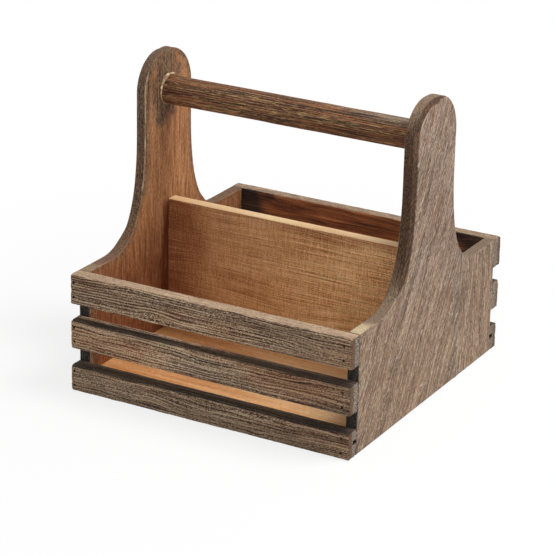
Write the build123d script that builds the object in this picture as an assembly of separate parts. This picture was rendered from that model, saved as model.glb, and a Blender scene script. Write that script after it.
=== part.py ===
from build123d import *
import os

# A divided wooden table caddy: two shaped end panels, three slats nailed across the front and
# three across the rear, a grooved-in floor, a divider and a round handle between the uprights.
# X runs along the handle, Y from front to rear and Z up. The origin is under the middle of the
# box, on the surface that it stands on. All sizes are in millimetres.

# The box
box_length = 250.0  # over the outer faces of the end panels, and the length of every slat
panel_width = 238.4  # front edge to rear edge of an end panel
panel_thickness = 9.9
panel_edge_rounding = 0.8

# Each end panel is edge-glued from a wide board and a narrow rear stave
seam_offset = 54.0  # from the middle of the panel back to the glue line

# The upright of an end panel, its hand-rounded crown and the flares at its foot
upright_width = 71.4
upright_offset = -2.0  # its middle lies this far behind the middle of the box
crown_height = 252.5
crown_front_radius = 30.0
crown_rear_radius = 35.0
flare_run = 48.4  # how far a flare spreads along the top of the box
flare_rise = 92.0  # how far it climbs above the box
flare_neck_reach = 56.0  # how long a flare stays close to the line of the upright
flare_foot_reach = 35.5  # how long it stays close to the top of the box

# Slats, from the bottom up
slat_thickness = 12.3
bottom_slat_height = 22.0
lower_gap = 14.2
middle_slat_height = 24.4
upper_gap = 13.2
top_slat_height = 25.2
slat_outer_rounding = 3.0
slat_inner_rounding = 1.0

# Floor board, held in grooves all round
floor_thickness = 3.0
floor_underside = 10.6  # above the surface that the caddy stands on
floor_slat_tongue = 5.5  # how deep it sits in the front and rear bottom slats
floor_panel_tongue = 3.0  # how deep it sits in the end panels

# Divider board, standing on the floor and housed in the end panels
divider_thickness = 10.5
divider_offset = 4.0  # its middle plane lies this far behind the middle of the box
divider_rise = 25.9  # how far it stands above the slats
divider_housing = 3.0  # how deep it sits in each end panel
divider_rounding = 0.6

# Handle dowel, glued into blind sockets on the middle line of the uprights
handle_diameter = 24.0
handle_drop = 33.5  # from the top of the crown down to the handle's axis
handle_socket_depth = 6.0
glue_fillet_leg = 1.3
glue_fillet_lip = 0.15  # thickness of the glue's thin outer rim

# Brads that nail the slats to the edges of the end panels
brad_length = 28.0
brad_diameter = 1.3
brad_head_diameter = 2.1
brad_head_height = 0.7
brad_sink = 0.8  # how far a head lies below the face of the slat
brad_spacing = 12.0  # between the two brads at each end of a slat
left_brad_inset = 2.8  # from the outer face of the left end panel
right_brad_inset = 7.0  # from the outer face of the right end panel

# Room left between pieces that go into each other
joint_clearance = 0.05
brad_clearance = 0.02

# Worked out from the sizes above
inner_length = box_length - 2 * panel_thickness
panel_half_width = panel_width / 2
upright_half_width = upright_width / 2
middle_slat_bottom = bottom_slat_height + lower_gap
top_slat_bottom = middle_slat_bottom + middle_slat_height + upper_gap
box_height = top_slat_bottom + top_slat_height
flare_top = box_height + flare_rise
outer_face = panel_half_width + slat_thickness
floor_top = floor_underside + floor_thickness
divider_top = box_height + divider_rise
handle_axis_height = crown_height - handle_drop
handle_radius = handle_diameter / 2
left_brad_x = left_brad_inset - box_length / 2
right_brad_x = box_length / 2 - right_brad_inset

# Slat name, bottom edge, height
slats = [
    ("bottom", 0.0, bottom_slat_height),
    ("middle", middle_slat_bottom, middle_slat_height),
    ("top", top_slat_bottom, top_slat_height),
]


def block(x_range, y_range, z_range):
    """A rectangular block between three pairs of coordinates."""
    sizes = [high - low for low, high in (x_range, y_range, z_range)]
    middles = [(high + low) / 2 for low, high in (x_range, y_range, z_range)]
    return Pos(*middles) * Box(*sizes)


def cylinder_along_x(radius, x_range, y, z):
    """A round bar along X between two coordinates."""
    low, high = x_range
    return Pos((low + high) / 2, y, z) * Rot(0, 90, 0) * Cylinder(radius, high - low)


def cylinder_along_y(radius, y_range, x, z):
    """A round bar along Y between two coordinates."""
    low, high = y_range
    return Pos(x, (low + high) / 2, z) * Rot(90, 0, 0) * Cylinder(radius, high - low)


def half_panel_outline(side, crown_radius):
    """Outline of an end panel in Y and Z, on one side of the middle line of its upright."""
    upright_edge = upright_offset + side * upright_half_width
    flare_foot = upright_edge + side * flare_run
    radius = min(crown_radius, upright_half_width)
    crown_start = crown_height - radius
    with BuildSketch(Plane.YZ) as outline:
        with BuildLine():
            Polyline(
                (upright_offset, 0),
                (side * panel_half_width, 0),
                (side * panel_half_width, box_height),
                (flare_foot, box_height),
            )
            Bezier(
                (flare_foot, box_height),
                (flare_foot - side * flare_foot_reach, box_height),
                (upright_edge, flare_top - flare_neck_reach),
                (upright_edge, flare_top),
            )
            Line((upright_edge, flare_top), (upright_edge, crown_start))
            crown = CenterArc(
                (upright_edge - side * radius, crown_start), radius, 90 - side * 90, side * 90
            )
            Polyline(crown @ 1, (upright_offset, crown_height), (upright_offset, 0))
        make_face()
    return outline.sketch


def end_panel_outline():
    """A low box side, two flares and a round-topped upright."""
    return half_panel_outline(-1, crown_front_radius) + half_panel_outline(1, crown_rear_radius)


def rounded_end_panel():
    """The right end panel as one rounded board, before its joints are cut."""
    panel = Pos(inner_length / 2, 0, 0) * extrude(end_panel_outline(), panel_thickness)
    top_edges = [
        edge
        for edge in panel.edges()
        if edge.center().Z > box_height - panel_edge_rounding
        and edge.bounding_box().size.X < panel_edge_rounding
    ]
    return fillet(top_edges, panel_edge_rounding)


def panel_joinery():
    """What is cut out of the right end panel for the handle, the divider and the floor."""
    inner_face = inner_length / 2
    handle_socket = cylinder_along_x(
        handle_radius + joint_clearance,
        (inner_face - panel_thickness, inner_face + handle_socket_depth),
        upright_offset,
        handle_axis_height,
    )
    housing_half = divider_thickness / 2 + joint_clearance
    divider_slot = block(
        (inner_face - panel_thickness, inner_face + divider_housing),
        (divider_offset - housing_half, divider_offset + housing_half),
        (floor_top, divider_top + joint_clearance),
    )
    floor_groove = block(
        (inner_face - panel_thickness, inner_face + floor_panel_tongue),
        (-outer_face, outer_face),
        (floor_underside - joint_clearance, floor_top + joint_clearance),
    )
    return [handle_socket, divider_slot, floor_groove]


def brad_heights(slat_bottom, slat_height):
    """Heights of the two brads at each end of a slat."""
    middle = slat_bottom + slat_height / 2
    return [middle - brad_spacing / 2, middle + brad_spacing / 2]


def front_brad(x, z, clearance=0.0, open_mouth=False):
    """One front brad, or with clearance and an open mouth the hole that it is driven into."""
    head_face = -outer_face + brad_sink
    head_low = -outer_face - brad_sink if open_mouth else head_face
    head = cylinder_along_y(
        brad_head_diameter / 2 + clearance, (head_low, head_face + brad_head_height), x, z
    )
    tip = head_face + brad_length + clearance
    shank = cylinder_along_y(brad_diameter / 2 + clearance, (head_face, tip), x, z)
    return head + shank


def brad_holes(x):
    """Holes for every front and rear brad at one end of the box."""
    holes = []
    for _, slat_bottom, slat_height in slats:
        for z in brad_heights(slat_bottom, slat_height):
            hole = front_brad(x, z, brad_clearance, open_mouth=True)
            holes.extend([hole, mirror(hole, about=Plane.XZ)])
    return holes


def front_slat(slat_bottom, slat_height, grooved):
    """A slat on the front edges of the end panels, its outer corners worn round."""
    with BuildSketch(Plane.YZ) as section:
        with Locations((-(panel_half_width + slat_thickness / 2), slat_bottom + slat_height / 2)):
            Rectangle(slat_thickness, slat_height)
        corners = section.vertices().group_by(Axis.Y)
        fillet(corners[0], slat_outer_rounding)
        fillet(section.vertices().group_by(Axis.Y)[-1], slat_inner_rounding)
    slat = Pos(-box_length / 2, 0, 0) * extrude(section.sketch, box_length)
    if grooved:
        slat -= block(
            (-box_length, box_length),
            (-panel_half_width - floor_slat_tongue, 0),
            (floor_underside - joint_clearance, floor_top + joint_clearance),
        )
    for x in (left_brad_x, right_brad_x):
        for z in brad_heights(slat_bottom, slat_height):
            slat -= front_brad(x, z, brad_clearance, open_mouth=True)
    return slat


def front_slat_brads(slat_bottom, slat_height):
    """The brads of one front slat, two at each end."""
    return [
        front_brad(x, z)
        for x in (left_brad_x, right_brad_x)
        for z in brad_heights(slat_bottom, slat_height)
    ]


def floor_board():
    """Thin board held in the grooves of the bottom slats and the end panels."""
    half_length = inner_length / 2 + floor_panel_tongue - joint_clearance
    half_width = panel_half_width + floor_slat_tongue - joint_clearance
    return block(
        (-half_length, half_length), (-half_width, half_width), (floor_underside, floor_top)
    )


def divider_board():
    """Board that stands on the floor and parts the box into two compartments."""
    half_length = inner_length / 2 + divider_housing - joint_clearance
    low = divider_offset - divider_thickness / 2
    board = block(
        (-half_length, half_length), (low, low + divider_thickness), (floor_top, divider_top)
    )
    top_edges = board.faces().sort_by(Axis.Z)[-1].edges().filter_by(Axis.X)
    return fillet(top_edges, divider_rounding)


def handle_dowel():
    """Round bar between the uprights, its ends glued into their sockets."""
    half_length = inner_length / 2 + handle_socket_depth - joint_clearance
    return cylinder_along_x(
        handle_radius, (-half_length, half_length), upright_offset, handle_axis_height
    )


def glue_fillet():
    """Bead of glue squeezed out round the handle where it enters the right upright."""
    bead = Cone(
        handle_radius + joint_clearance + glue_fillet_leg,
        handle_radius + joint_clearance + glue_fillet_lip,
        glue_fillet_leg,
    ) - Cylinder(handle_radius + joint_clearance, 2 * glue_fillet_leg)
    place = Pos(inner_length / 2 - glue_fillet_leg / 2, upright_offset, handle_axis_height)
    return place * Rot(0, -90, 0) * bead


def end_panel_boards(panel, x):
    """The two boards of an end panel, with their brad holes, split at the glue line."""
    for hole in brad_holes(x):
        panel -= hole
    all_x = (-box_length, box_length)
    main_side = block(all_x, (-outer_face, seam_offset), (0, crown_height))
    stave_side = block(all_x, (seam_offset, outer_face), (0, crown_height))
    return {"main_board": panel & main_side, "rear_stave": panel & stave_side}


def as_group(solids):
    """Several separate solids held as one sub-part."""
    return Compound(children=[piece for solid in solids for piece in solid.solids()])


def mirrored(solids, plane):
    """Copies of several solids on the other side of a plane."""
    return [mirror(solid, about=plane) for solid in solids]


parts = {}

right_panel = rounded_end_panel()
for cut in panel_joinery():
    right_panel -= cut
left_panel = mirror(right_panel, about=Plane.YZ)
for side, panel, x in (("left", left_panel, left_brad_x), ("right", right_panel, right_brad_x)):
    for board_name, board in end_panel_boards(panel, x).items():
        parts[f"{side}_end_panel_{board_name}"] = as_group([board])

for level, slat_bottom, slat_height in slats:
    slat = front_slat(slat_bottom, slat_height, grooved=level == "bottom")
    brads = front_slat_brads(slat_bottom, slat_height)
    parts[f"front_{level}_slat"] = as_group([slat])
    parts[f"rear_{level}_slat"] = as_group([mirror(slat, about=Plane.XZ)])
    parts[f"front_{level}_slat_brads"] = as_group(brads)
    parts[f"rear_{level}_slat_brads"] = as_group(mirrored(brads, Plane.XZ))

parts["floor_board"] = as_group([floor_board()])
parts["divider_board"] = as_group([divider_board()])
parts["handle_dowel"] = as_group([handle_dowel()])
parts["handle_glue_fillets"] = as_group([glue_fillet(), mirror(glue_fillet(), about=Plane.YZ)])

os.makedirs("parts", exist_ok=True)
for name, shape in parts.items():
    shape.label = name
    export_step(shape, f"parts/{name}.step")
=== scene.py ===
import math

import bmesh
import bpy
import numpy as np
from mathutils import Matrix, Vector
from mathutils.geometry import delaunay_2d_cdt


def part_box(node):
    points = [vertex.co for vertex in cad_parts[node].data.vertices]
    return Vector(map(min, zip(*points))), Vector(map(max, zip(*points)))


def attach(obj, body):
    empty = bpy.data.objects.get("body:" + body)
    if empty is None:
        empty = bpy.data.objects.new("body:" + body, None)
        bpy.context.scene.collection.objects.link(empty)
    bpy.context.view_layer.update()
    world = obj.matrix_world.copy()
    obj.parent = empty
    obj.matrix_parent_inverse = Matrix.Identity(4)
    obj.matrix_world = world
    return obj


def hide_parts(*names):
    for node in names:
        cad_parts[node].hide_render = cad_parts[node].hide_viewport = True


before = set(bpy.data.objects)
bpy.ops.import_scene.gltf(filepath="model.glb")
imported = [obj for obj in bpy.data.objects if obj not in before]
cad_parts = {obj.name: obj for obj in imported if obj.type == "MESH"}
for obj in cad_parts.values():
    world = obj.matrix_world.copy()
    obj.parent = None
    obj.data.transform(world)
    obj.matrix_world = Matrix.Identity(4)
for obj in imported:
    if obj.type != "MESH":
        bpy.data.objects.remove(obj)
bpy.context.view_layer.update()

# A divided wooden table caddy: charred and brushed slats, shaped end panels, a divider, a floor
# and a round handle. Meshes are worked out in millimetres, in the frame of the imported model, and
# turned into metres when they are made.

MM = 0.001
BODY = "root"
WHITE = (1, 1, 1, 1)


# ---- noise and fields

def lattice(ix, iy, iz, seed):
    """A repeatable value from -1 to 1 for each whole-number lattice point."""
    h = ix * 374761393 + iy * 668265263 + iz * 1442695041 + seed * 974634777
    h = (h ^ (h >> 13)) & 0xFFFFFFFF
    h = (h * 1274126177) & 0xFFFFFFFF
    h = (h ^ (h >> 16)) & 0xFFFFFFFF
    h = (h * 1103515245) & 0xFFFFFFFF
    return ((h ^ (h >> 13)) & 0xFFFFFF) / 0x7FFFFF - 1.0


def smooth(t):
    """Smooth step from 0 to 1."""
    t = np.clip(t, 0.0, 1.0)
    return t * t * (3.0 - 2.0 * t)


def rise(values, start, width):
    """0 up to start, then smoothly up to 1 over this width."""
    return smooth((values - start) / width)


def fall(values, end, width):
    """1 at first, then smoothly down over this width to 0 at end."""
    return smooth((end - values) / width)


def field(points, lengths, seed):
    """Smooth noise from -1 to 1 at points, with features of these lengths."""
    scaled = points / np.array(lengths, float)
    cell = np.floor(scaled)
    part = smooth(scaled - cell)
    cell = cell.astype(np.int64)
    total = np.zeros(len(points))
    for corner in range(8):
        step = [(corner >> k) & 1 for k in range(3)]
        weight = np.ones(len(points))
        for k in range(3):
            weight = weight * (part[:, k] if step[k] else 1.0 - part[:, k])
        ix, iy, iz = (cell[:, k] + step[k] for k in range(3))
        total += weight * lattice(ix, iy, iz, seed)
    return total


# ---- outlines

def divided(start, end, spacing):
    """Points from start up to, but not at, end, about this far apart."""
    start, end = np.array(start, float), np.array(end, float)
    count = max(1, round(np.linalg.norm(end - start) / spacing))
    return [start + (end - start) * k / count for k in range(count)]


def rounded_outline(corners):
    """Closed anticlockwise loop. A corner is u, v, its radius and the spacing up to the next."""
    places = np.array([c[:2] for c in corners], float)
    loop = []
    count = len(corners)
    ends = []
    for k in range(count):
        here, radius = places[k], corners[k][2]
        before = places[k - 1] - here
        after = places[(k + 1) % count] - here
        start = here + before / np.linalg.norm(before) * radius
        end = here + after / np.linalg.norm(after) * radius
        ends.append((start, end, start + end - here))
    for k in range(count):
        start, end, centre = ends[k]
        radius = corners[k][2]
        if radius:
            steps = max(2, round(radius * 1.6 / corners[k][3]))
            for angle in np.linspace(0, math.pi / 2, steps + 1)[:-1]:
                across = (start - centre) * math.cos(angle)
                loop.append(centre + across + (end - centre) * math.sin(angle))
        loop.extend(divided(end, ends[(k + 1) % count][0], corners[k][3]))
    return np.array(loop)


def outward_normals(loop):
    """Outward normals of an anticlockwise loop, mitred at its corners."""
    before = loop - np.roll(loop, 1, axis=0)
    after = np.roll(loop, -1, axis=0) - loop
    before /= np.linalg.norm(before, axis=1)[:, None]
    after /= np.linalg.norm(after, axis=1)[:, None]
    tangent = (before + after) / 2
    cosine = np.linalg.norm(tangent, axis=1)
    tangent /= cosine[:, None]
    return np.column_stack([tangent[:, 1], -tangent[:, 0]]) / np.maximum(cosine, 0.6)[:, None]


def distance_to(points, loop):
    """How far each point is from the nearest point of a closely divided loop."""
    nearest = np.empty(len(points))
    for start in range(0, len(points), 2000):
        part = points[start:start + 2000]
        gaps = part[:, None, :] - loop[None, :, :]
        nearest[start:start + 2000] = np.sqrt((gaps ** 2).sum(axis=2).min(axis=1))
    return nearest


def inside(points, loop):
    """Which points lie inside a closed loop."""
    u, v = points[:, 0], points[:, 1]
    hit = np.zeros(len(points), bool)
    for (u0, v0), (u1, v1) in zip(loop, np.roll(loop, -1, axis=0)):
        if v0 == v1:
            continue
        crosses = (v0 > v) != (v1 > v)
        hit ^= crosses & (u < (u1 - u0) * (v - v0) / (v1 - v0) + u0)
    return hit


# ---- meshes

def prism(loop, stations, spacing, ease=None):
    """A board with this outline in Y and Z, along X.

    stations holds X and how far the outline is drawn in there. spacing is that of the points
    inside both end faces, and ease scales the drawing in at each point of the outline. It gives
    the points and the faces."""
    normals = outward_normals(loop)
    if ease is not None:
        normals = normals * ease[:, None]
    count = len(loop)
    points, faces = [], []
    for x, inset in stations:
        points.append(np.column_stack([np.full(count, x), loop - normals * inset]))
    for k in range(len(stations) - 1):
        a = k * count
        for i in range(count):
            j = (i + 1) % count
            faces.append((a + i, a + j, a + count + j, a + count + i))
    total = count * len(stations)
    for first, ring in ((0, points[0]), (total - count, points[-1])):
        flat = ring[:, 1:]
        low, high = flat.min(axis=0), flat.max(axis=0)
        u = np.arange(low[0] + spacing[0] / 2, high[0], spacing[0])
        v = np.arange(low[1] + spacing[1] / 2, high[1], spacing[1])
        grid = np.array([(a, b) for a in u for b in v])
        grid = grid[inside(grid, flat)]
        grid = grid[distance_to(grid, flat) > 0.45 * min(spacing)]
        corners = [Vector(p) for p in flat] + [Vector(p) for p in grid]
        edges = [(i, (i + 1) % count) for i in range(count)]
        made = delaunay_2d_cdt(corners, edges, [], 1, 1e-7)
        if len(made[0]) != len(corners):
            raise ValueError("an outline crosses itself where it is drawn in")
        names = [first + o[0] if o[0] < count else total + o[0] - count for o in made[3]]
        for triangle in made[2]:
            faces.append(tuple(names[i] for i in triangle))
        points.append(np.column_stack([np.full(len(grid), ring[0, 0]), grid]))
        total += len(grid)
    return np.vstack(points), faces


def in_scene(name, data):
    """A new object of the scene."""
    made = bpy.data.objects.new(name, data)
    bpy.context.scene.collection.objects.link(made)
    return made


class Board:
    """A mesh in the making: its points and normals in millimetres, and values at its points."""

    def __init__(self, name, points, faces):
        self.mesh = bpy.data.meshes.new(name)
        self.mesh.from_pydata(points.tolist(), [], faces)
        self.mesh.validate()
        work = bmesh.new()
        work.from_mesh(self.mesh)
        bmesh.ops.recalc_face_normals(work, faces=work.faces)
        work.to_mesh(self.mesh)
        work.free()
        self.name = name
        self.points = points
        self.read_normals()

    def read_normals(self):
        normals = np.empty(len(self.points) * 3)
        self.mesh.vertex_normals.foreach_get("vector", normals)
        self.normals = normals.reshape(-1, 3)

    def push(self, depth):
        """Moves every point outwards along its normal."""
        self.points = self.points + self.normals * depth[:, None]

    def value(self, name, values):
        """Keeps a value from 0 to 1 at each point, for the material to read."""
        stored = self.mesh.attributes.new(name, "FLOAT", "POINT")
        stored.data.foreach_set("value", np.clip(values, 0.0, 1.0).astype(np.float32))

    def grain(self, along, across, through):
        """Keeps the place of each point in millimetres along, across and through the grain."""
        stored = self.mesh.attributes.new("grain", "FLOAT_VECTOR", "POINT")
        places = np.column_stack([along, across, through]).astype(np.float32)
        stored.data.foreach_set("vector", places.ravel())

    def finished(self, material, nodes):
        """Makes the object, which rides on the body and stands for these CAD nodes."""
        self.mesh.vertices.foreach_set("co", (self.points * MM).ravel())
        self.mesh.polygons.foreach_set("use_smooth", np.ones(len(self.mesh.polygons), bool))
        self.mesh.materials.append(material)
        self.mesh.update()
        piece = in_scene(self.name, self.mesh)
        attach(piece, BODY)
        if nodes:
            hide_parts(*nodes)
        return piece


# ---- materials

def colour(code):
    """Linear colour from an sRGB code such as 8f7565."""
    parts = [int(code[k:k + 2], 16) / 255 for k in (0, 2, 4)]
    return [p / 12.92 if p <= 0.04045 else ((p + 0.055) / 1.055) ** 2.4 for p in parts] + [1.0]


def wired(tree, kind, *sources, **settings):
    """A new shader node with these settings. Sockets or values feed its first inputs."""
    node = tree.nodes.new("ShaderNode" + kind)
    for key, setting in settings.items():
        setattr(node, key, setting)
    for socket, source in zip(node.inputs, sources):
        feed(tree, socket, source)
    return node


def feed(tree, socket, source):
    """Links a socket to an input, or sets the input to a value."""
    if isinstance(source, bpy.types.NodeSocket):
        tree.links.new(source, socket)
    else:
        socket.default_value = source


class Finish:
    """Builds one node material."""

    def __init__(self, name):
        self.material = bpy.data.materials.new(name)
        self.material.use_nodes = True
        self.tree = self.material.node_tree
        self.surface = self.tree.nodes["Principled BSDF"]
        self.place = self.new("Attribute", attribute_name="grain").outputs["Vector"]

    def new(self, kind, *sources, **settings):
        return wired(self.tree, kind, *sources, **settings)

    def value(self, name):
        """A value that the mesh keeps at its points."""
        return self.new("Attribute", attribute_name=name).outputs["Fac"]

    def noise(self, lengths, seed, low=0.3, high=0.7, detail=2.0, distortion=0.0):
        """Noise from 0 to 1. lengths are its features' sizes in mm along and across the grain."""
        along, across = lengths
        mapping = self.new("Mapping", self.place, vector_type="TEXTURE")
        mapping.inputs["Location"].default_value = (seed * 37.0, seed * 23.0, seed * 31.0)
        mapping.inputs["Scale"].default_value = (along, across, across)
        texture = self.new("TexNoise", mapping.outputs["Vector"])
        settings = {"Scale": 1.0, "Detail": detail, "Roughness": 0.6, "Distortion": distortion}
        for key, number in settings.items():
            texture.inputs[key].default_value = number
        return self.remap(texture.outputs["Fac"], low, high)

    def remap(self, source, low, high, to_low=0.0, to_high=1.0):
        """A value from low to high turned into one from to_low to to_high, and kept there."""
        node = self.new("MapRange", source, low, high, to_low, to_high, clamp=True)
        return node.outputs["Result"]

    def math(self, operation, *sources):
        return self.new("Math", *sources, operation=operation).outputs[0]

    def weighted(self, *pairs):
        """Values about a middle of 0.5, added with these weights."""
        total = 0.5 - 0.5 * sum(weight for _, weight in pairs)
        for source, weight in pairs:
            total = self.math("MULTIPLY_ADD", source, weight, total)
        return total

    def times(self, *sources):
        total = sources[0]
        for source in sources[1:]:
            total = self.math("MULTIPLY", total, source)
        return total

    def ramp(self, source, *stops):
        """Colours along a value. A stop is a place from 0 to 1 and a colour code."""
        node = self.new("ValToRGB", source)
        points = node.color_ramp.elements
        while len(points) < len(stops):
            points.new(0.5)
        for point, (place, code) in zip(points, stops):
            point.position = place
            point.color = colour(code)
        return node.outputs["Color"]

    def mix(self, share, a, b, blend="MIX"):
        """The first colour at share 0 and the second at 1. Either may be a code."""
        node = self.new("Mix", share, data_type="RGBA", blend_type=blend)
        for place, shade in ((6, a), (7, b)):
            feed(self.tree, node.inputs[place], colour(shade) if isinstance(shade, str) else shade)
        return node.outputs[2]

    def done(self, shade, roughness, height, depth, specular=0.3):
        """Sets colour, roughness and a bump of this depth in millimetres."""
        bump = self.new("Bump")
        bump.inputs["Distance"].default_value = depth * MM
        feed(self.tree, bump.inputs["Height"], height)
        sources = {
            "Base Color": shade,
            "Roughness": roughness,
            "Specular IOR Level": specular,
            "Normal": bump.outputs["Normal"],
        }
        for key, source in sources.items():
            feed(self.tree, self.surface.inputs[key], source)
        return self.material


def flecked(f, shade, dark, pale, seed, dark_share, pale_share, lengths=(2.4, 0.6), run=9.0):
    """Thin dark lines and short pale fibres over a colour. Gives it and the fibres' mask.

    lengths are a fibre's along and across the grain, and a line is run times as long."""
    along, across = lengths
    dull = f.noise((along * run, across), seed, 0.42, 0.33, detail=1.0)
    shade = f.mix(f.times(dull, dark_share), shade, dark)
    bright = f.noise((along, across), seed + 1, 0.55, 0.66, detail=1.0)
    zone = f.noise((along * 12.0, across * 9.0), seed + 2, 0.36, 0.58)
    bright = f.times(bright, zone)
    return f.mix(f.times(bright, pale_share), shade, pale), bright


def slat_finish():
    """Charred, wire-brushed slat: dark furrows, paler ridges, reddish brown inside."""
    f = Finish("charred brushed slat")
    ridge = f.value("ridge")
    fibre = f.noise((85, 0.75), 2)
    speck = f.noise((1.1, 0.6), 4, detail=1.0)
    patch = f.noise((55, 7), 3, detail=3.0)
    amount = f.weighted((ridge, 0.85), (fibre, 0.85), (speck, 0.6), (patch, 0.1))
    stops = (0.2, 0.46, 0.7, 0.88, 1.0)
    grey = f.ramp(amount, *zip(stops, ("190c07", "3b271c", "614a3a", "886f58", "bfa88b")))
    brown = f.ramp(amount, *zip(stops, ("240f08", "5a3521", "8a5e42", "b08665", "dabb96")))
    outer = f.mix(f.value("rust"), grey, brown)
    outer, bright = flecked(f, outer, "200e08", "e4d0ae", 5, 0.4, 0.8, run=24.0)
    # Darker along the slat by station and in a mottle, and painted shade on its end faces
    outer = f.mix(f.value("darkening_and_painted_shade"), outer, "93796a", "MULTIPLY")
    # Near black where charred, and as painted shade on the tops of the lower slats
    charred = f.ramp(amount, (0.1, "0b0807"), (0.6, "1f1915"), (1.0, "463b30"))
    outer = f.mix(f.value("char_and_painted_shade"), outer, charred)
    streak = f.weighted((fibre, 0.6), (patch, 0.7), (ridge, 0.25), (speck, 0.45))
    within = f.ramp(streak, (0.1, "432a1f"), (0.4, "764b33"), (0.7, "9a6543"), (1.0, "bf8a5e"))
    # Sooty, and painted shade, on the inner face near both ends by the end panels
    sooty_and_painted_shade = f.ramp(streak, (0.1, "151110"), (0.6, "3a2d2a"), (1.0, "5e4c43"))
    within = f.mix(f.value("sooty_and_painted_shade"), within, sooty_and_painted_shade)
    bare = f.weighted((fibre, 0.5), (ridge, 0.4), (speck, 0.7))
    pale = f.ramp(bare, (0.0, "6a5344"), (0.45, "a0846c"), (1.0, "cdb092"))
    pale, _ = flecked(f, pale, "4a3b30", "e6d0ad", 8, 0.5, 0.6)
    end_grain = f.weighted((speck, 1.1), (fibre, 0.5))
    tip = f.ramp(end_grain, (0.1, "322a24"), (0.5, "706358"), (1.0, "cfc4b4"))
    shade = f.mix(f.value("inner"), outer, within)
    shade = f.mix(f.value("worn"), shade, pale)
    shade = f.mix(f.value("tip"), shade, tip)
    height = f.weighted((bright, 0.4), (fibre, 0.5), (speck, 0.5))
    return f.done(shade, f.remap(fibre, 0.0, 1.0, 0.7, 0.92), height, 0.22)


def panel_outside(f, fibre, speck):
    """Outer face: pinkish above, browner below, grey by the glue line. Also its pale fibres."""
    patch = f.noise((70, 9), 13)
    tint = f.noise((60, 10), 14, 0.42, 0.68)
    amount = f.weighted((f.value("ridge"), 0.45), (fibre, 0.95), (speck, 0.6), (patch, 0.3))
    grey = (0.05, "35231a"), (0.35, "5b4438"), (0.6, "755b4b"), (0.82, "927766"), (1.0, "baa390")
    grey = f.ramp(amount, *grey)
    brown = f.ramp(amount, (0.05, "322214"), (0.35, "5b432e"), (0.6, "7a5c42"), (1.0, "bd9c74"))
    cool = f.ramp(amount, (0.1, "39332f"), (0.6, "625953"), (1.0, "958b82"))
    shade = f.mix(f.math("MAXIMUM", f.times(tint, 0.6), f.value("warm")), grey, brown)
    shade = f.mix(f.value("seam"), shade, cool)
    return flecked(f, shade, "3c2719", "e4d6c2", 15, 0.5, 0.8, (4.0, 0.36))


def panel_inside(f, hair, speck):
    """Inner face: orange-brown, with painted shade low down and a painted shadow in front of the
    divider, scorched at its border and by the handle.
    """
    tone = f.noise((30, 4), 29)
    soft = f.weighted((hair, 0.95), (speck, 0.75), (tone, 0.4))
    shade = f.ramp(soft, (0.05, "7d4f30"), (0.35, "a66f47"), (0.65, "ba8254"), (1.0, "d8a673"))
    thin = f.noise((28, 0.8), 21, 0.43, 0.36, detail=1.0)
    shade = f.mix(f.times(thin, 0.6), shade, "69432a")
    # Painted shade low down and a painted shadow in front of the divider
    shade = f.mix(f.value("darkening_and_painted_shade"), shade, "a07a68", "MULTIPLY")
    bold = f.weighted((hair, 0.9), (speck, 0.8), (f.value("ridge"), 0.3))
    scorched = f.ramp(bold, (0.1, "150d08"), (0.45, "3f2c20"), (0.7, "694c38"), (1.0, "ab8863"))
    reach = f.weighted((f.value("border"), 1.0), (hair, 1.1), (tone, 0.4))
    return f.mix(f.remap(reach, 0.32, 0.74), shade, scorched)


def panel_edge(f, hair, speck):
    """Sawn edge: dark where it stands upright, lighter on top, pale or charred in places."""
    streak = f.weighted((hair, 0.75), (f.value("ridge"), 0.35), (speck, 0.75))
    dark = f.ramp(streak, (0.1, "130a06"), (0.5, "331f14"), (1.0, "70523a"))
    middle = f.ramp(streak, (0.1, "3a2d24"), (0.5, "6a5646"), (1.0, "a08a70"))
    light = f.ramp(streak, (0.0, "6b5a47"), (0.5, "b8a17e"), (1.0, "e6d3ae"))
    tan = f.ramp(streak, (0.1, "1c110b"), (0.5, "503627"), (1.0, "9c7656"))
    rusty = f.ramp(streak, (0.1, "1f150f"), (0.5, "4f392b"), (1.0, "957558"))
    black = f.ramp(streak, (0.2, "0d0b0a"), (0.75, "1f1b18"), (1.0, "6a6158"))
    is_tan = f.value("tan")
    level = f.remap(f.value("up"), 0.3, 0.8)
    shade = f.mix(level, f.mix(is_tan, dark, rusty), f.mix(is_tan, middle, tan))
    worm = f.noise((2.6, 1.7), 28, 0.48, 0.58, detail=1.0, distortion=1.6)
    shade = f.mix(f.times(f.value("burl"), worm), shade, "94745a")
    shade = f.mix(f.value("pale_rim"), shade, light)
    return f.mix(f.value("char_and_painted_shade"), shade, black)


def panel_finish():
    """End panel, with its outer face, its inner face and its sawn edge."""
    f = Finish("brushed end panel")
    fibre = f.noise((22, 0.34), 12)
    speck = f.noise((2.4, 0.36), 16, detail=1.0)
    hair = f.noise((24, 0.6), 27)
    outer, bright = panel_outside(f, fibre, speck)
    edge = panel_edge(f, hair, speck)
    band = f.value("band")
    outer = f.mix(f.remap(f.weighted((band, 1.0), (hair, 0.12)), 0.48, 0.53), outer, edge)
    shade = f.mix(f.value("inner"), outer, panel_inside(f, hair, speck))
    shade = f.mix(f.value("rim"), shade, edge)
    off_line = f.math("ABSOLUTE", f.math("SUBTRACT", band, 0.5))
    line = f.times(f.remap(off_line, 0.03, 0.09, 1.0, 0.0), f.value("crest"))
    shade = f.mix(f.math("MAXIMUM", f.value("arris"), line), shade, "d2bb9c")
    height = f.weighted((bright, 0.4), (fibre, 0.4), (speck, 0.4))
    return f.done(shade, f.remap(fibre, 0.0, 1.0, 0.68, 0.88), height, 0.2)


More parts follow.
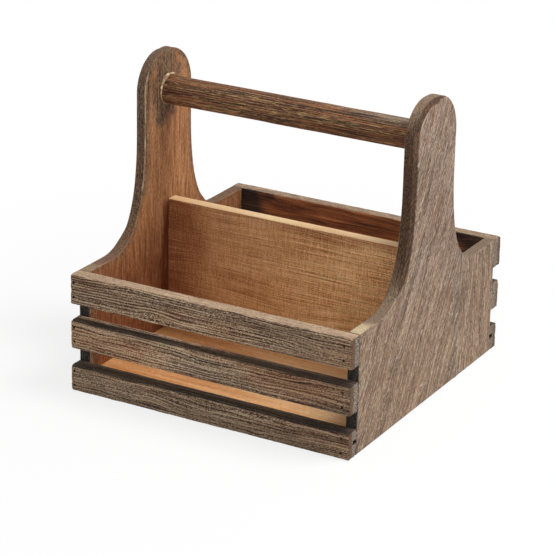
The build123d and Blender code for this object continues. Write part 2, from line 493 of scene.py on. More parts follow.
def divider_finish():
    """Divider: warm brown, wavy dark streaks along it, fine saw marks across it, a pale top partly
    painted light, reddish painted shade by the left panel that lifts to the right and low down,
    and a darker band along the top.
    """
    f = Finish("sawn divider")
    bold = f.value("bold")
    streak = f.noise((75, 0.8), 22, distortion=0.2)
    hair = f.noise((1.3, 0.6), 21, detail=1.0)
    patch = f.noise((60, 22), 24)
    saw = f.noise((0.6, 9), 23, detail=1.0)
    ridge = (f.value("ridge"), 0.2)
    amount = f.weighted((hair, 0.65), (streak, 0.7), (saw, 0.35), (patch, 0.15), ridge)
    contrast = f.remap(bold, 0.0, 1.0, 0.6, 1.0)
    amount = f.math("MULTIPLY_ADD", f.math("SUBTRACT", amount, 0.5), contrast, 0.5)
    face = f.ramp(amount, (0.05, "885736"), (0.35, "d0965f"), (0.6, "f0ba80"), (1.0, "ffe6b4"))
    reddish = f.ramp(amount, (0.05, "522b19"), (0.5, "925733"), (1.0, "c98c61"))
    # Reddish painted shade by the left panel, lighter to the right and low down as painted light,
    # and a darker band along the top
    face = f.mix(f.value("dark_top_and_painted_shade"), face, reddish)
    dull = f.noise((40, 0.8), 26, 0.4, 0.32, detail=1.0, distortion=0.3)
    face = f.mix(f.times(dull, bold, 0.5), face, "5a3822")
    smoother = f.weighted((hair, 0.4), (patch, 0.5))
    # The pale top is partly the edge's own paler wood and partly painted light from above
    top = f.ramp(smoother, (0.0, "cfa171"), (0.5, "eac595"), (1.0, "f8deb6"))
    shade = f.mix(f.remap(f.value("up"), 0.5, 0.85), face, top)
    height = f.weighted((hair, 0.4), (saw, 0.4), (streak, 0.3))
    return f.done(shade, f.remap(streak, 0.0, 1.0, 0.6, 0.8), height, 0.12)


def floor_finish():
    """Floor: plain light board, orange-tan with fine grain along it, painted lighter towards the
    right and the back.
    """
    f = Finish("light floor board")
    hair = f.noise((5, 0.6), 31, detail=1.0)
    band = f.noise((90, 5), 32, detail=3.0)
    grain = f.weighted((hair, 0.5), (band, 0.6))
    shade = f.ramp(grain, (0.1, "b87844"), (0.5, "d8985e"), (1.0, "f4c48c"))
    # Painted light: the floor is lightened towards the right and the back
    painted_light = f.ramp(grain, (0.1, "f0b67a"), (0.5, "ffd8a0"), (1.0, "fff0cc"))
    shade = f.mix(f.value("painted_light"), shade, painted_light)
    shade, bright = flecked(f, shade, "a3683a", "fde0b4", 33, 0.5, 0.5)
    height = f.weighted((hair, 0.6), (bright, 0.4))
    return f.done(shade, f.remap(band, 0.0, 1.0, 0.5, 0.68), height, 0.07)


def handle_finish():
    """Handle: dark brown with golden and reddish streaks, grey along its top, and a painted
    reddish bounce light under its ends.
    """
    f = Finish("brushed charred handle")
    ridge, up = f.value("ridge"), f.value("up")
    fibre = f.noise((50, 0.7), 42)
    speck = f.noise((1.6, 0.6), 47, detail=1.0)
    band = f.noise((80, 3.5), 43, 0.4, 0.58)
    patch = f.noise((40, 5), 44)
    amount = f.weighted((ridge, 0.6), (fibre, 1.0), (speck, 0.45), (patch, 0.4))
    brown = (0.05, "140a05"), (0.35, "2f1d12"), (0.6, "503622"), (0.85, "785638"), (1.0, "a8825a")
    brown = f.ramp(amount, *brown)
    red = f.ramp(amount, (0.05, "1c0c06"), (0.45, "492918"), (1.0, "8e5b3b"))
    # Reddish streaks, and a painted reddish bounce light under the ends
    shade = f.mix(f.math("MAXIMUM", band, f.value("rust")), brown, red)
    grey = f.ramp(amount, (0.05, "2b231d"), (0.5, "5d5044"), (1.0, "988772"))
    shade = f.mix(f.remap(up, 0.6, 0.95, 0.0, 0.8), shade, grey)
    shade, bright = flecked(f, shade, "150b06", "dcb47e", 45, 0.6, 0.6, (9.0, 0.62))
    height = f.weighted((bright, 0.5), (fibre, 0.4), (speck, 0.4))
    return f.done(shade, f.remap(fibre, 0.0, 1.0, 0.6, 0.85), height, 0.2)


def speckled_finish(name, sizes, seed, stops, roughness, depth):
    """Small grains of several colours, alike in every direction."""
    f = Finish(name)
    in_metres = f.new("TexCoord").outputs["Object"]
    place = f.new("VectorMath", in_metres, operation="SCALE")
    place.inputs["Scale"].default_value = 1 / MM
    f.place = place.outputs[0]
    fine = f.noise((sizes[0], sizes[0]), seed, detail=4.0)
    stain = f.noise((sizes[1], sizes[1]), seed + 1)
    shade = f.ramp(f.weighted((fine, 0.6), (stain, 0.7)), *stops)
    return f, f.done(shade, f.remap(fine, 0.0, 1.0, *roughness), fine, depth)


def brad_finish():
    """Brads: dull dark steel with specks of rust."""
    stops = ((0.2, "120f0d"), (0.6, "2a2420"), (1.0, "4a3426"))
    f, material = speckled_finish("dull brad steel", (0.4, 1.5), 51, stops, (0.45, 0.8), 0.05)
    f.surface.inputs["Metallic"].default_value = 0.6
    return material


def glue_finish():
    """Dried glue with sawdust in it."""
    stops = ((0.0, "6b5140"), (0.45, "a98c6b"), (1.0, "ecd9b6"))
    return speckled_finish("dried glue", (0.8, 3.0), 61, stops, (0.5, 0.8), 0.15)[1]


# ---- sizes and layers

def corner_box(node):
    """Lowest and highest corner of a CAD node in millimetres."""
    low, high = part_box(node)
    return np.array(low) / MM, np.array(high) / MM


def plain_stations(x0, x1, spacing):
    """Places about this far apart along a board whose ends aren't rounded."""
    return [(x, 0.0) for x in np.arange(x0, x1, spacing)] + [(x1, 0.0)]


def furrows(layer, width):
    """1 in the middle of each growth layer, down to 0 at this share of a layer from it."""
    return smooth(1.0 - np.abs(layer - np.floor(layer) - 0.5) / width)


# ---- slats

NOTCH_LOW = 10.55
NOTCH_HIGH = 13.65
NOTCH_DEPTH = 5.5
LOWER_ROUNDING = 1.2
UPPER_ROUNDING = 3.0
INNER_ROUNDING = 1.0
BRAD_SPACING = 12.0
BRAD_RADIUS = 1.05
HOLE_RADIUS = 1.2
HOLE_DEPTH = 0.86
TOP_SLAT_ABOVE = 90.0
DUSK_STATIONS = (-100.0, -30.0, 95.0)


def slat_outline(low, high, side, notched):
    """Section of a slat in Y and Z. side is -1 at the front and 1 at the rear."""
    z0, z1 = low[2], high[2]
    outer, inner = low[1] - high[1], 0.0
    corners = [(outer, z0, LOWER_ROUNDING, 0.5), (inner, z0, INNER_ROUNDING, 0.8)]
    if notched:
        corners += [
            (inner, NOTCH_LOW, 0.0, 0.7),
            (inner - NOTCH_DEPTH, NOTCH_LOW, 0.0, 0.7),
            (inner - NOTCH_DEPTH, NOTCH_HIGH, 0.0, 0.7),
            (inner, NOTCH_HIGH, 0.0, 0.8),
        ]
    corners += [(inner, z1, INNER_ROUNDING, 0.45), (outer, z1, UPPER_ROUNDING, 0.33)]
    loop = rounded_outline(corners)
    if side < 0:
        return loop + [high[1], 0.0]
    return (loop * [-1.0, 1.0])[::-1] + [low[1], 0.0]


def slat_stations(x0, x1, brads):
    """Places along a slat, closer together at its ends and at its brads."""
    count, near_brad, near_step, least_step, end_gap = 200, 1.8, 0.3, 0.22, 0.7
    places = list(np.linspace(x0 + 1.0, x1 - 1.0, count))
    for brad in brads:
        places += list(np.arange(brad - near_brad, brad + near_brad + 0.01, near_step))
    places = sorted(p for p in places if x0 + end_gap < p < x1 - end_gap)
    kept = [places[0]]
    for place in places[1:]:
        if place - kept[-1] > least_step:
            kept.append(place)
    low_end = [(x0, 0.55), (x0 + 0.12, 0.25), (x0 + 0.4, 0.0)]
    high_end = [(x1 - 0.4, 0.0), (x1 - 0.12, 0.25), (x1, 0.55)]
    return low_end + [(p, 0.0) for p in kept] + high_end


def slat_relief(points, seed, across, through, sway):
    """Height of a brushed surface, 0 in a furrow and 1 on a ridge, from growth layers."""
    sweep = field(points, (80, 60, 17), seed) * 0.4 + field(points, (9, 9, 3.5), seed + 2) * 0.16
    layer = (points[:, 2] + sway) / across + points[:, 1] / through + sweep
    strength = 0.62 + 0.38 * lattice(np.floor(layer).astype(np.int64), 3, 7, seed + 5)
    furrow = furrows(layer, 0.34) * strength
    fibre = field(points, (8, 0.9, 0.9), seed + 3)
    patch = field(points, (40, 12, 12), seed + 4)
    return np.clip(0.93 - furrow * (0.62 + 0.3 * patch) + 0.14 * fibre, 0.0, 1.0)


def brad_holes(points, brads, middle):
    """1 inside the holes above and below the middle at each of these places, 0 off them."""
    hole = np.zeros(len(points))
    for x in brads:
        for z in (middle - BRAD_SPACING / 2, middle + BRAD_SPACING / 2):
            away = np.hypot(points[:, 0] - x, points[:, 2] - z)
            hole = np.maximum(hole, fall(away, HOLE_RADIUS, 0.25))
    return hole


def make_slat(name, side, seed, across, through, bend, darkening_and_painted_shade, material):
    """One slat with brushed-out furrows, worn corners, its floor groove and its brad holes."""
    low, high = corner_box(name)
    brads_low, brads_high = corner_box(name + "_brads")
    brads = (brads_low[0] + BRAD_RADIUS, brads_high[0] - BRAD_RADIUS)
    loop = slat_outline(low, high, side, notched=low[2] < 1.0)
    points, faces = prism(loop, slat_stations(low[0], high[0], brads), spacing=(0.7, 0.7))
    board = Board(name + "_dressed", points, faces)
    x, y, z = points.T
    upward = board.normals[:, 2]
    upright = np.abs(upward)
    endward = np.abs(board.normals[:, 0])
    outward = np.clip(board.normals[:, 1] * side, 0.0, 1.0)
    inward = np.clip(-board.normals[:, 1] * side, 0.0, 1.0)
    sway = field(points, (60, 30, 14), seed + 17) + 0.4 * field(points, (24, 30, 9), seed + 1)
    sway = bend * sway
    ridge = slat_relief(points, seed, across, through, sway)
    depth = 0.1 + 0.8 * smooth(outward) + 0.2 * upright + 0.3 * endward
    push = -depth * (1.0 - ridge)
    # Chipped and worn long corners
    corner = rise(outward + upright, 1.12, 0.25)
    chips = 0.6 * field(points, (6, 5, 5), seed + 9) + 0.5 * field(points, (2.2, 2, 2), seed + 10)
    push -= corner * np.clip(chips, 0, 1) * 0.8
    # Ends are chipped a little too
    near_end = fall(np.minimum(x - low[0], high[0] - x), 2.0, 2.0)
    push -= near_end * np.clip(field(points, (3, 2.4, 2.4), seed + 12), 0, 1) * 0.6
    hole = brad_holes(points, brads, (low[2] + high[2]) / 2) * (outward > 0.9)
    board.push(push * (1.0 - hole) - HOLE_DEPTH * hole)
    # What the material reads: a top slat has a pale worn edge, the others a charred top that is
    # also painted shade under the slat above
    top = rise(upward, 0.35, 0.35)
    ragged = field(points, (5, 3, 3), seed + 14) * 0.5
    ragged += field(points, (1.6, 1.2, 1.2), seed + 15) * 0.35
    worn = 0.15 * endward
    if high[2] > TOP_SLAT_ABOVE:
        char_and_painted_shade = np.zeros(len(points))
        edge = rise(upward + 0.35 * ragged, 0.62, 0.3)
        worn = np.maximum(worn, edge * (0.9 if side < 0 else 0.4))
    else:
        # Charring and painted shade along the top, under the slat above
        char_and_painted_shade = 0.85 * top * (1.0 - 0.5 * inward)
    depth_in = np.abs(y) - PANEL_HALF
    if name == "front_middle_slat":
        # Its top isn't charred and shaded along the inner half at the left, and is worn pale by
        # its edge
        leftward = fall(x, 30.0, 50.0)
        char_and_painted_shade *= 1.0 - leftward * fall(depth_in, 6.5 + 1.5 * ragged, 2.0)
        worn = np.maximum(worn, 0.8 * leftward * top * fall(depth_in, 1.9 + ragged, 1.0))
        tail = rise(x, 96.0, 8.0)
        worn = np.maximum(worn, 0.6 * tail * top * fall(depth_in, 1.0 + 0.5 * ragged, 0.6))
    board.value("tip", 0.8 * rise(endward, 0.5, 0.3) * fall(depth_in, 8.0 + 1.5 * ragged, 2.0))
    rust = smooth(0.35 + 1.1 * field(points, (70, 30, 16), seed + 16))
    board.value("rust", rust * (0.95 if "middle" in name else 0.5))
    mottle = 0.12 * field(points, (45, 20, 14), seed + 18)
    # Darker along the slat by station and in a mottle; the end faces get painted shade
    board.value("darkening_and_painted_shade", np.interp(x, DUSK_STATIONS, darkening_and_painted_shade) + mottle + 0.6 * endward)
    # The inner face goes sooty towards both ends, and this is also painted shade by the end panels
    uneven = 12.0 * field(points, (14, 9, 8), seed + 19)
    board.value("sooty_and_painted_shade", rise(np.abs(x) + uneven, 84.0, 14.0))
    board.grain(x + 31.0 * seed, z + sway, y)
    board.value("ridge", ridge * (1.0 - 0.7 * hole))
    board.value("inner", smooth(inward * 1.4 - 0.2))
    board.value("worn", worn * (1.0 - hole))
    board.value("char_and_painted_shade", np.maximum(char_and_painted_shade, hole * 0.9))
    return board.finished(material, [name])


# ---- end panels

PANEL_FACE = 115.1
PANEL_BACK = 125.0
PANEL_HALF = 119.2
BOX_HEIGHT = 99.0
SEAM = 54.0
UPRIGHT = -2.0
UPRIGHT_HALF = 35.7
FLARE_RUN = 48.4
FLARE_RISE = 92.0
FLARE_NECK = 56.0
FLARE_FOOT = 35.5
CROWN = 252.5
CROWN_FRONT = 30.0
CROWN_REAR = 35.0
PANEL_SPACING = 0.8
BEVEL_WIDTH = 5.6
BEVEL_DEPTH = 1.8
PANEL_ROUNDING = 0.9
SCORCH_Y = -8.0
SCORCH_Z = 222.0


def flare(side):
    """Closely spaced points of a flare, from its foot on the box up to the upright."""
    edge = UPRIGHT + side * UPRIGHT_HALF
    foot = edge + side * FLARE_RUN
    controls = np.array([
        (foot, BOX_HEIGHT),
        (foot - side * FLARE_FOOT, BOX_HEIGHT),
        (edge, BOX_HEIGHT + FLARE_RISE - FLARE_NECK),
        (edge, BOX_HEIGHT + FLARE_RISE),
    ])
    t = np.linspace(0, 1, 400)[:, None]
    weights = [(1 - t) ** 3, 3 * t * (1 - t) ** 2, 3 * t ** 2 * (1 - t), t ** 3]
    return sum(w * c for w, c in zip(weights, controls))


def crown(side, radius):
    """Points of a crown arc, from the upright's edge to its top."""
    edge = UPRIGHT + side * UPRIGHT_HALF
    t = np.linspace(0, math.pi / 2, 90)[:, None]
    centre = np.array([edge - side * radius, CROWN - radius])
    return centre + radius * np.hstack([side * np.cos(t), np.sin(t)])


def evenly(route, spacing):
    """The corners of a route kept, with points about this far apart between its ends."""
    route = np.array(route, float)
    steps = np.linalg.norm(np.diff(route, axis=0), axis=1)
    run = np.concatenate([[0], np.cumsum(steps)])
    count = max(1, round(run[-1] / spacing))
    places = np.linspace(0, run[-1], count + 1)
    return np.column_stack([np.interp(places, run, route[:, k]) for k in range(2)])


def panel_loops():
    """Outlines of the main board and the rear stave, anticlockwise, without a repeated point."""
    rear = flare(1)
    at = np.argmin(np.abs(rear[:, 0] - SEAM))
    rear[at, 0] = SEAM
    seam_top = rear[at]
    front = flare(-1)
    main = [
        [(-PANEL_HALF, 0), (SEAM, 0)],
        [(SEAM, 0), seam_top],
        np.vstack([rear[at:], crown(1, CROWN_REAR)]),
        np.vstack([crown(1, CROWN_REAR)[-1:], crown(-1, CROWN_FRONT)[::-1], front[::-1]]),
        [front[0], (-PANEL_HALF, BOX_HEIGHT)],
        [(-PANEL_HALF, BOX_HEIGHT), (-PANEL_HALF, 0)],
    ]
    stave = [
        [(SEAM, 0), (PANEL_HALF, 0)],
        [(PANEL_HALF, 0), (PANEL_HALF, BOX_HEIGHT)],
        [(PANEL_HALF, BOX_HEIGHT), rear[0]],
        rear[:at + 1],
        [seam_top, (SEAM, 0)],
    ]
    return [
        np.vstack([evenly(route, PANEL_SPACING)[:-1] for route in routes])
        for routes in (main, stave)
    ]


def panel_stations(side):
    """Places through a panel, with its long corners rounded."""
    angles = np.radians([0, 25, 50, 75, 90])
    radius = PANEL_ROUNDING
    curve = [(radius * (1 - math.cos(a)), radius * (1 - math.sin(a))) for a in angles]
    near = [(PANEL_FACE + step, inset) for step, inset in curve]
    far = [(PANEL_BACK - step, inset) for step, inset in curve[::-1]]
    flat = np.linspace(PANEL_FACE + radius, PANEL_BACK - radius, 11)[1:-1]
    return [(side * x, inset) for x, inset in near + [(x, 0.0) for x in flat] + far]


def panel_relief(points, seed, lean):
    """Height of a brushed end panel whose grain leans back by this slope, and its grain."""
    turn = math.atan(lean)
    along = points[:, 2] * math.cos(turn) + points[:, 1] * math.sin(turn)
    across = points[:, 1] * math.cos(turn) - points[:, 2] * math.sin(turn)
    across += 3.0 * field(points, (40, 45, 70), seed + 6)
    across += 0.8 * field(points, (20, 16, 30), seed + 7)
    straight = np.column_stack([along, across, points[:, 0]])
    sweep = field(straight, (90, 22, 20), seed) + 0.3 * field(straight, (30, 8, 9), seed + 1)
    layer = across / 2.2 + points[:, 0] / 2.6 + sweep
    strength = 0.6 + 0.4 * lattice(np.floor(layer).astype(np.int64), 1, 5, seed + 5)
    furrow = furrows(layer, 0.36) * strength
    fibre = field(straight, (9, 1.2, 1.2), seed + 3)
    return np.clip(0.92 - 0.6 * furrow + 0.16 * fibre, 0.0, 1.0), straight


def panel_scorch(points, distance, front_zone, crown_zone, seed):
    """How dark an inner face is: scorched along its border and round the handle, and darker in two
    corners.
    """
    y, z = points[:, 1], points[:, 2]
    width = 1.5 + 1.5 * field(points, (9, 9, 22), seed + 11) + 6.0 * front_zone + 3.0 * crown_zone
    border = 0.5 + (width - distance) / 14.0
    # The patch round the handle is darkest between it and the front edge
    away = np.hypot((y - SCORCH_Y) / 1.1, (z - SCORCH_Z) / 1.35)
    swirl = field(points, (6, 7, 13), seed + 13)
    patch = 0.5 + (21.0 - away + 6.0 * swirl) / 14.0
    border = np.clip(np.maximum(border, patch), 0.0, 0.95)
    # Darker along the front edge, most at the bottom, and near the flare's foot
    bottom_corner = fall(y, 16.0 - PANEL_HALF, 8.0) * fall(z, 108.0, 90.0)
    foot_corner = fall(y, 13.0 - PANEL_HALF, 9.0) * rise(z, 66.0, 18.0)
    return np.maximum(border, 0.7 * np.maximum(bottom_corner, foot_corner))


def panel_seam(points, wave):
    """How grey an outer face is: beside the glue line, on it, and where the slats are nailed."""
    y, z = points[:, 1], points[:, 2]
    middle = SEAM - 3.5 + 2.0 * field(points, (30, 30, 40), 41)
    grey = smooth(1.0 - np.abs(y - middle) / 7.0) * (0.55 + 0.45 * field(points, (9, 3, 25), 42))
    line = smooth(1.0 - np.abs(y - SEAM) / 0.8)
    nailed = fall(y, 5.0 - PANEL_HALF + 1.5 * wave, 2.0) * fall(z, BOX_HEIGHT, 4.0)
    return np.maximum(np.maximum(0.9 * grey, 0.8 * line), 0.35 * nailed)


def make_panel_board(name, loop, side, lean, seed, material):
    """One board of an end panel, brushed, with rounded and slightly worn edges."""
    ease = np.clip(np.abs(loop[:, 0] - SEAM) / 5.0, 0.12, 1.0)
    points, faces = prism(loop, panel_stations(side), spacing=(0.7, 2.0), ease=ease)
    distance = distance_to(points[:, 1:], loop[np.abs(loop[:, 0] - SEAM) > 0.01])
    # The outer face falls away towards the front edge of the upright and round the crown
    front = rise(points[:, 2], BOX_HEIGHT + 4.0, 14.0) * fall(points[:, 1], 14.0, 18.0)
    reach = np.maximum(BEVEL_WIDTH * front + 0.5 * field(points, (9, 9, 9), seed + 21), 0.2)
    sunk = BEVEL_DEPTH * front * smooth(1.0 - distance / (BEVEL_WIDTH + 1.0))
    points[:, 0] -= side * sunk * (np.abs(points[:, 0]) - PANEL_FACE) / (PANEL_BACK - PANEL_FACE)
    board = Board(name + "_dressed", points, faces)
    y, z = points[:, 1], points[:, 2]
    outward = board.normals[:, 0] * side
    upward = board.normals[:, 2]
    across = np.abs(outward)
    inner = smooth(-1.5 * outward - 0.2)
    rim = fall(across, 0.92, 0.5)
    off_seam = 1.0 - smooth(1.0 - np.abs(y - SEAM) / 0.6)
    low_front = (np.abs(y) > PANEL_HALF - 1.5) & (z < BOX_HEIGHT - 2.5)
    ridge, straight = panel_relief(points, seed, lean)
    wave = field(points, (30, 24, 24), seed + 8)
    worn = np.clip(field(points, (4, 5, 5), seed + 9), 0, 1) * 0.3 + 0.12 * (0.5 + 0.5 * wave)
    board.push(-(0.1 + 0.2 * rim) * (1.0 - ridge) - rim * off_seam * worn * ~low_front)
    # What the material reads
    board.value("band", 0.5 + (reach - distance) / 12.0)
    board.value("ridge", ridge)
    board.value("inner", inner)
    board.value("rim", rim * off_seam)
    board.value("up", upward)
    crown_zone = rise(z, 196.0, 24.0)
    front_zone = rise(z, 118.0, 40.0) * (y < UPRIGHT)
    board.value("border", panel_scorch(points, distance, front_zone, crown_zone, seed))
    low_down = fall(z, BOX_HEIGHT + 30.0, 60.0)
    # A painted shadow of the divider, in a strip just in front of it on the inner face
    painted_divider_shadow = rise(y, -15.0, 10.0) * smooth(-y) * fall(z, 128.0, 8.0)
    # Painted shade on the inner face: darker low down, and the divider's painted shadow
    board.value("darkening_and_painted_shade", (0.7 * low_down + 0.9 * painted_divider_shadow) * inner)
    tan, burl, charred, pale = (0.9, 1.0, 0.4, 0.3) if side < 0 else (0.0, 0.25, 0.0, 0.95)
    board.value("tan", np.full(len(points), tan))
    board.value("burl", burl * rise(z, 200.0, 18.0))
    board.value("char_and_painted_shade", rim * np.maximum(low_front, charred * crown_zone))
    foot = fall(z, BOX_HEIGHT + 7.0 + 3.0 * field(points, (5, 6, 6), seed + 18), 5.0)
    foot *= fall(y, 26.0 - PANEL_HALF + 6.0 * field(points, (5, 6, 6), seed + 19), 12.0)
    board.value("pale_rim", pale * foot * rise(upward, 0.6, 0.3))
    bevel = rise(across, 0.3, 0.2) * fall(across, 0.93, 0.15)
    broken = smooth(0.2 + 1.3 * field(points, (3, 7, 7), seed + 20))
    high_up = rise(z, BOX_HEIGHT - 4.0, 6.0)
    lip = inner * smooth(1.6 - distance) * front_zone * fall(z, 240.0, 10.0)
    arris = np.maximum(0.6 * bevel * broken * high_up, 0.8 * lip * (0.3 + 0.7 * broken))
    board.value("arris", arris * off_seam * (1.0 - front * (outward > 0.0)))
    on_bevel = rise(reach, 2.5, 1.5) * (1.0 - inner)
    board.value("crest", 0.9 * broken * rise(z, 226.0, 12.0) * on_bevel)
    strip = fall(y, 10.0 - PANEL_HALF, 4.0) * rise(z, 30.0, 40.0)
    board.value("warm", np.maximum(0.9 * strip, 0.5 * low_down))
    board.value("seam", panel_seam(points, wave) * (1.0 - inner))
    board.grain(straight[:, 0] + 40.0 * seed, straight[:, 1], straight[:, 2])
    return board.finished(material, [name])


# ---- divider, floor, handle, glue

def box_outline(low, high, rounding, spacings):
    """Section of a flat board in Y and Z, whose two upper corners have this radius."""
    (y0, z0), (y1, z1) = low[1:], high[1:]
    places = [(y0, z0, 0.0), (y1, z0, 0.0), (y1, z1, rounding), (y0, z1, rounding)]
    return rounded_outline([(*place, spacing) for place, spacing in zip(places, spacings)])


def make_divider(material):
    """Divider board with light saw marks and softened top corners."""
    name = "divider_board"
    low, high = corner_box(name)
    loop = box_outline(low, high, 0.6, (1.5, 1.0, 0.5, 1.0))
    points, faces = prism(loop, plain_stations(low[0], high[0], 0.7), spacing=(2.0, 4.0))
    board = Board(name + "_dressed", points, faces)
    x, y, z = points.T
    layer = z / 2.6 + 2.0 * field(points, (60, 30, 18), 301)
    layer += 0.5 * field(points, (18, 9, 6), 302)
    ridge = 0.9 - 0.6 * furrows(layer, 0.3) + 0.2 * field(points, (1.4, 5, 8), 303)
    ridge = np.clip(ridge, 0, 1)
    board.push(-(0.05 + 0.12 * np.abs(board.normals[:, 1])) * (1.0 - ridge))
    # Reddish painted shade: strongest by the left panel and lighter to the right and low down as
    # painted light; a darker band also runs along the top
    left = fall(x, -40.0 + 10 * field(points, (12, 9, 30), 304), 65.0)
    upper = rise(z + 3 * field(points, (25, 9, 4), 305), high[2] - 12.0, 8.0)
    rightward = rise(x, -100.0, 200.0)
    base = 0.6 - 0.6 * rightward - 0.2 * fall(z, high[2], 90.0)
    board.value("ridge", ridge)
    board.value("bold", 0.25 + 0.75 * rightward)
    board.value("up", board.normals[:, 2])
    board.value("dark_top_and_painted_shade", np.maximum(np.maximum(left * 0.95, upper * 0.55), base))
    board.grain(x, z + 3.0 * field(points, (70, 40, 25), 308), y)
    return board.finished(material, [name])


def make_floor(material):
    """Floor board with a very light relief along its grain."""
    name = "floor_board"
    low, high = corner_box(name)
    loop = box_outline(low, high, 0.0, (1.2, 1.0, 1.2, 1.0))
    points, faces = prism(loop, plain_stations(low[0], high[0], 4.0), spacing=(2.5, 1.0))
    board = Board(name + "_dressed", points, faces)
    x, y, z = points.T
    grain = field(points, (50, 3.0, 3.0), 311)
    board.push(-0.03 * (0.5 + 0.5 * grain))
    # Painted light, lighter towards the right end and the back
    backward = 0.3 + 0.7 * rise(y, -95.0, 50.0)
    painted_light = np.maximum(rise(x, -90.0, 190.0) * backward, rise(x, 40.0, 60.0))
    board.value("painted_light", painted_light)
    board.grain(x, y, z)
    return board.finished(material, [name])


def handle_section(low, high):
    """Centre of the handle in Y and Z, and its radius, from its lowest and highest corner."""
    return (low[1:] + high[1:]) / 2, (high[2] - low[2]) / 2


def make_handle(material):
    """Round handle, brushed along its grain and a little out of true."""
    name = "handle_dowel"
    low, high = corner_box(name)
    centre, radius = handle_section(low, high)
    turns = np.linspace(0, 2 * math.pi, 190, endpoint=False)
    loop = centre + radius * np.column_stack([np.cos(turns), np.sin(turns)])
    points, faces = prism(loop, plain_stations(low[0], high[0], 1.4), spacing=(2.0, 2.0))
    board = Board(name + "_dressed", points, faces)
    x, y, z = points.T
    layer = z / 1.9 + y / 6.0 + field(points, (90, 14, 14), 321) * 1.2
    layer += field(points, (25, 6, 6), 322) * 0.3
    fibre = field(points, (10, 1.0, 1.0), 323)
    ridge = np.clip(0.9 - 0.6 * furrows(layer, 0.33) + 0.2 * fibre, 0, 1)
    board.push(-0.32 * (1.0 - ridge) - 0.14 * (1.0 + field(points, (45, 9, 9), 324)))
    board.value("ridge", ridge)
    upward = board.normals[:, 2]
    board.value("up", upward * (0.6 + 0.4 * rise(x, 10.0, 90.0)))
    # Painted reddish bounce light from the inner faces, under the handle near its ends
    near_end = rise(np.abs(x) + 14.0 * field(points, (20, 6, 6), 325), 70.0, 25.0)
    board.value("rust", 0.8 * near_end * smooth(0.3 - upward))
    board.grain(x, z, y)
    return board.finished(material, [name])


GLUE_AROUND = 150
GLUE_SECTION = 10
GLUE_SHARE = 0.465
GLUE_SUNK = 0.25
GLUE_IN_WALL = 0.3
GLUE_RUN_TURN = math.radians(116)


def glue_size(side, spoke, radius, turn):
    """Size of the glue's bead at this turn, largest where the glue has run."""
    at = np.array([[side * 9.0, *(spoke * radius)]])
    size = 1.0 + 0.5 * field(at, (3, 6.0, 6.0), 331)[0]
    size += 0.55 * field(at, (3, 1.8, 1.8), 332)[0]
    size += 2.3 * max(0.0, math.cos(turn - GLUE_RUN_TURN)) ** 2.0
    return max(size, 0.35)


def make_glue(material):
    """Bumpy bead of glue round each end of the handle, as two rings in one piece."""
    centre, radius = handle_section(*corner_box("handle_dowel"))
    points, faces = [], []
    for side in (-1, 1):
        start = len(points)
        for i in range(GLUE_AROUND):
            turn = 2 * math.pi * i / GLUE_AROUND
            spoke = np.array([math.cos(turn), math.sin(turn)])
            half = GLUE_SHARE * glue_size(side, spoke, radius, turn)
            for k in range(GLUE_SECTION):
                angle = 2 * math.pi * k / GLUE_SECTION
                out = radius - GLUE_SUNK + half * (1 + math.sin(angle))
                along = PANEL_FACE + GLUE_IN_WALL - half * (1 + math.cos(angle))
                points.append((side * along, *(centre + spoke * out)))
        for i in range(GLUE_AROUND):
            a = start + i * GLUE_SECTION
            b = start + (i + 1) % GLUE_AROUND * GLUE_SECTION
            for k in range(GLUE_SECTION):
                n = (k + 1) % GLUE_SECTION
                faces.append((a + k, a + n, b + n, b + k))
    board = Board("handle_glue_dressed", np.array(points), faces)
    return board.finished(material, ["handle_glue_fillets"])


# ---- studio

def place_camera():
    """Camera at the photograph's viewing angle."""
    azimuth = math.radians(28.98157)
    elevation = math.radians(21.29419)
    roll = math.radians(1.22308)
    target = Vector((-0.012169, 0.0, 0.076384))
    distance = 1.97848
    back = Vector((
        math.sin(azimuth) * math.cos(elevation),
        -math.cos(azimuth) * math.cos(elevation),
        math.sin(elevation),
    ))
    right = back.cross(Vector((0, 0, -1))).normalized()
    up = back.cross(right)
    side = right * math.cos(roll) + up * math.sin(roll)
    top = up * math.cos(roll) - right * math.sin(roll)
    place = target + back * distance
    data = bpy.data.cameras.new("camera")
    data.lens = 158.496
    data.sensor_width = 36.0
    camera = in_scene("camera", data)
    rows = [[side[k], top[k], back[k], place[k]] for k in range(3)] + [[0, 0, 0, 1]]
    camera.matrix_world = Matrix(rows)
    bpy.context.scene.camera = camera


def soft_lamp(name, place, target, width, power):
    """Square area lamp aimed at a point."""
    data = bpy.data.lights.new(name, "AREA")
    data.size = width
    data.energy = power
    lamp = in_scene(name, data)
    lamp.location = place
    lamp.rotation_mode = "QUATERNION"
    lamp.rotation_quaternion = (Vector(target) - Vector(place)).to_track_quat("-Z", "Y")


def seen_directly(tree):
    """1 for rays that show a background: from the camera, in a reflection or through glass."""
    path = wired(tree, "LightPath")
    total = path.outputs["Is Camera Ray"]
    for name in ("Is Glossy Ray", "Is Transmission Ray"):
        node = wired(tree, "Math", total, path.outputs[name], operation="MAXIMUM")
        total = node.outputs[0]
    return total


def mixed_surface(tree, share, first, second, target):
    """Share 0 shows the first shader and 1 the second."""
    mix = wired(tree, "MixShader", share, first.outputs[0], second.outputs[0])
    tree.links.new(mix.outputs[0], tree.nodes[target].inputs["Surface"])


def make_world(strength):
    """Even white surroundings that look white and light the object softly."""
    world = bpy.data.worlds.new("studio")
    bpy.context.scene.world = world
    world.use_nodes = True
    tree = world.node_tree
    lighting = tree.nodes["Background"]
    lighting.inputs["Color"].default_value = WHITE
    lighting.inputs["Strength"].default_value = strength
    backdrop = wired(tree, "Background", WHITE, 1.0)
    mixed_surface(tree, seen_directly(tree), lighting, backdrop, "World Output")


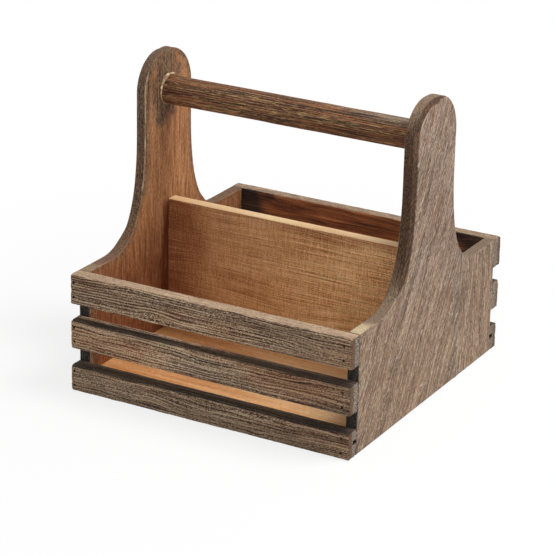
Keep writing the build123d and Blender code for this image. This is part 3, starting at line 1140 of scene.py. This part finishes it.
def ground_finish():
    """Matt and pale near the object, for its shadow, and glowing white away from it."""
    material = bpy.data.materials.new("pale ground")
    material.use_nodes = True
    tree = material.node_tree
    tree.nodes.remove(tree.nodes["Principled BSDF"])
    matt = wired(tree, "BsdfDiffuse", (0.9, 0.9, 0.9, 1))
    glow = wired(tree, "Emission", WHITE, 1.0)
    place = wired(tree, "TexCoord").outputs["Object"]
    away = wired(tree, "VectorMath", place, operation="LENGTH").outputs["Value"]
    near, far, near_glow, far_glow = 0.15, 0.55, 0.8, 1.0
    fade = wired(
        tree, "MapRange", away, near, far, near_glow, far_glow,
        interpolation_type="SMOOTHSTEP")
    direct = seen_directly(tree)
    share = wired(tree, "Math", direct, fade.outputs[0], operation="MULTIPLY")
    mixed_surface(tree, share.outputs[0], matt, glow, "Material Output")
    return material


def make_ground():
    """Pale floor just below the object, which looks white and keeps a light shadow of it."""
    mesh = bpy.data.meshes.new("ground")
    half, drop = 6.0, 0.0002
    corners = [(-half, -half, 0), (half, -half, 0), (half, half, 0), (-half, half, 0)]
    mesh.from_pydata(corners, [], [(0, 1, 2, 3)])
    ground = in_scene("ground", mesh)
    ground.location.z = -drop
    mesh.materials.append(ground_finish())


def make_studio():
    """World, ground and lamps."""
    make_world(strength=0.38)
    make_ground()
    aim = (0, 0, 0.08)
    soft_lamp("key", (0.75, 0.25, 1.6), aim, width=0.7, power=24.0)
    soft_lamp("fill", (0.9, -1.5, 0.9), aim, width=1.2, power=6.0)


# ---- everything

def make_object():
    """Dresses every CAD node."""
    slat_wood = slat_finish()
    # Side, seed, spacing of the growth layers up the face and through the slat, how far they
    # bend in millimetres, and how dusky the slat is at each of DUSK_STATIONS
    slats = {
        "front_bottom_slat": (-1, 110, 3.2, 2.6, 5.0, (0.25, 0.12, 0.45)),
        "front_middle_slat": (-1, 130, 2.6, 3.4, 3.0, (0.3, 0.0, 0.6)),
        "front_top_slat": (-1, 150, 2.4, 2.2, 4.0, (0.3, 0.15, 0.42)),
        "rear_bottom_slat": (1, 170, 2.9, 2.8, 4.0, (0.2, 0.25, 0.3)),
        "rear_middle_slat": (1, 190, 2.5, 3.0, 3.0, (0.1, 0.05, 0.0)),
        "rear_top_slat": (1, 210, 2.7, 2.4, 3.5, (0.3, 0.35, 0.4)),
    }
    for name, (side, seed, across, through, bend, darkening_and_painted_shade) in slats.items():
        make_slat(name, side, seed, across, through, bend, darkening_and_painted_shade, slat_wood)
    panel_wood = panel_finish()
    main_loop, stave_loop = panel_loops()
    for word, side, seed, lean in (("left", -1, 230, 0.03), ("right", 1, 260, 0.55)):
        panel = word + "_end_panel_"
        make_panel_board(panel + "main_board", main_loop, side, lean, seed, panel_wood)
        make_panel_board(panel + "rear_stave", stave_loop, side, 0.02, seed + 15, panel_wood)
    make_divider(divider_finish())
    make_floor(floor_finish())
    make_handle(handle_finish())
    make_glue(glue_finish())
    steel = brad_finish()
    for name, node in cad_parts.items():
        if name.endswith("_brads"):
            node.data.materials.clear()
            node.data.materials.append(steel)


make_object()
place_camera()
make_studio()
bpy.context.scene.view_settings.view_transform = "Standard"
